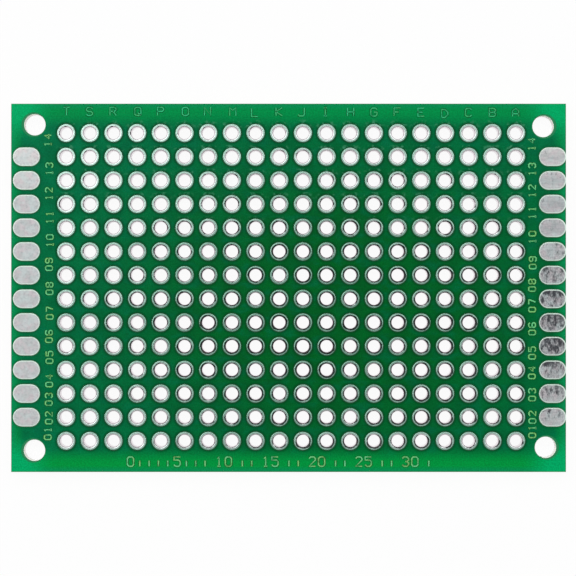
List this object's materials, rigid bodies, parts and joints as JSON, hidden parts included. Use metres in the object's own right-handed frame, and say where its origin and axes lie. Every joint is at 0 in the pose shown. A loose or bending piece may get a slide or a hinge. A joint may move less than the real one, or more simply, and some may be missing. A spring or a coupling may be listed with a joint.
{
  "type": "prototype board",
  "caption": "Flat rectangular double-sided soldering board: drilled laminate, plated lead holes on a grid, pads along both short edges and green mask on both faces.",
  "frame": {"origin": "middle of the outline, on the plane that the bottom pads rest on", "axes": "+X along the long side, from the column lettered T to A; +Y from row 01 to row 14; +Z out of the lettered face"},
  "size_m": [0.0596, 0.0396, 0.0018],
  "materials": {
    "laminate": "woven glass laminate with sawn edges",
    "green_mask": "glossy green mask",
    "pad_tin": "hot-dipped tin over copper, mottled",
    "hole_tin": "hot-dipped tin over copper, bright"
  },
  "bodies": {
    "root": {"laminate_core": "laminate", "solder_mask_top": "green_mask", "solder_mask_bottom": "green_mask", "edge_pads_left_top": "pad_tin", "edge_pads_right_top": "pad_tin", "edge_pads_left_bottom": "pad_tin", "edge_pads_right_bottom": "pad_tin", "plated_holes_row_01": "hole_tin", "plated_holes_row_02": "hole_tin", "plated_holes_row_03": "hole_tin", "plated_holes_row_04": "hole_tin", "plated_holes_row_05": "hole_tin", "plated_holes_row_06": "hole_tin", "plated_holes_row_07": "hole_tin", "plated_holes_row_08": "hole_tin", "plated_holes_row_09": "hole_tin", "plated_holes_row_10": "hole_tin", "plated_holes_row_11": "hole_tin", "plated_holes_row_12": "hole_tin", "plated_holes_row_13": "hole_tin", "plated_holes_row_14": "hole_tin"}
  },
  "joints": []
}
